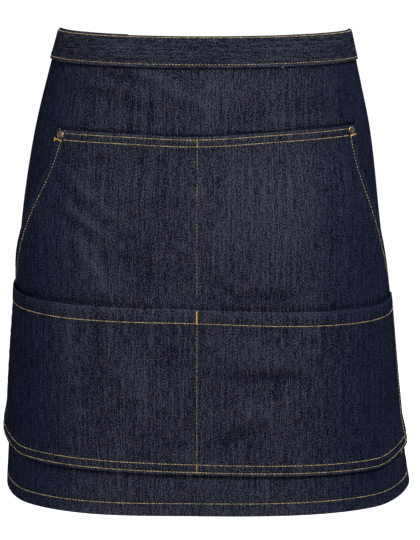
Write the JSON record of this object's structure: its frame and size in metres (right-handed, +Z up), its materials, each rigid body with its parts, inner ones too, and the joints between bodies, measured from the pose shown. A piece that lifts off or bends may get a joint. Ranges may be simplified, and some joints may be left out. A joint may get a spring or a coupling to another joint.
{
  "type": "denim waist apron",
  "caption": "Waist apron in dark indigo denim: a wrapped panel on a folded waistband, with wide divided pockets, one above the other, gold topstitching, brass rivets and ties knotted behind.",
  "frame": {"origin": "middle of the waist opening, level with the top of the waistband at the front and the sides, where the wearer's waist goes through", "axes": "+Z up the wearer's body, -Y the way the wearer faces (the front of the apron), +X to the right of someone facing the apron"},
  "size_m": [0.4441, 0.2519, 0.5002],
  "materials": {
    "denim": "dark indigo denim, matt, with a flecked warp",
    "denim_band": "dark indigo denim, matt",
    "brass": "antique brass",
    "gold_thread": "gold topstitching thread",
    "orange_thread": "orange bar tack thread"
  },
  "bodies": {
    "root": {"panel": "denim", "waistband": "denim_band", "upper_pocket": "denim", "lower_pocket": "denim", "tie_left": "denim_band", "tie_right": "denim_band", "tie_knot": "denim_band", "tie_tail_left": "denim_band", "tie_tail_right": "denim_band", "rivet_left": "brass", "rivet_right": "brass"}
  },
  "joints": []
}
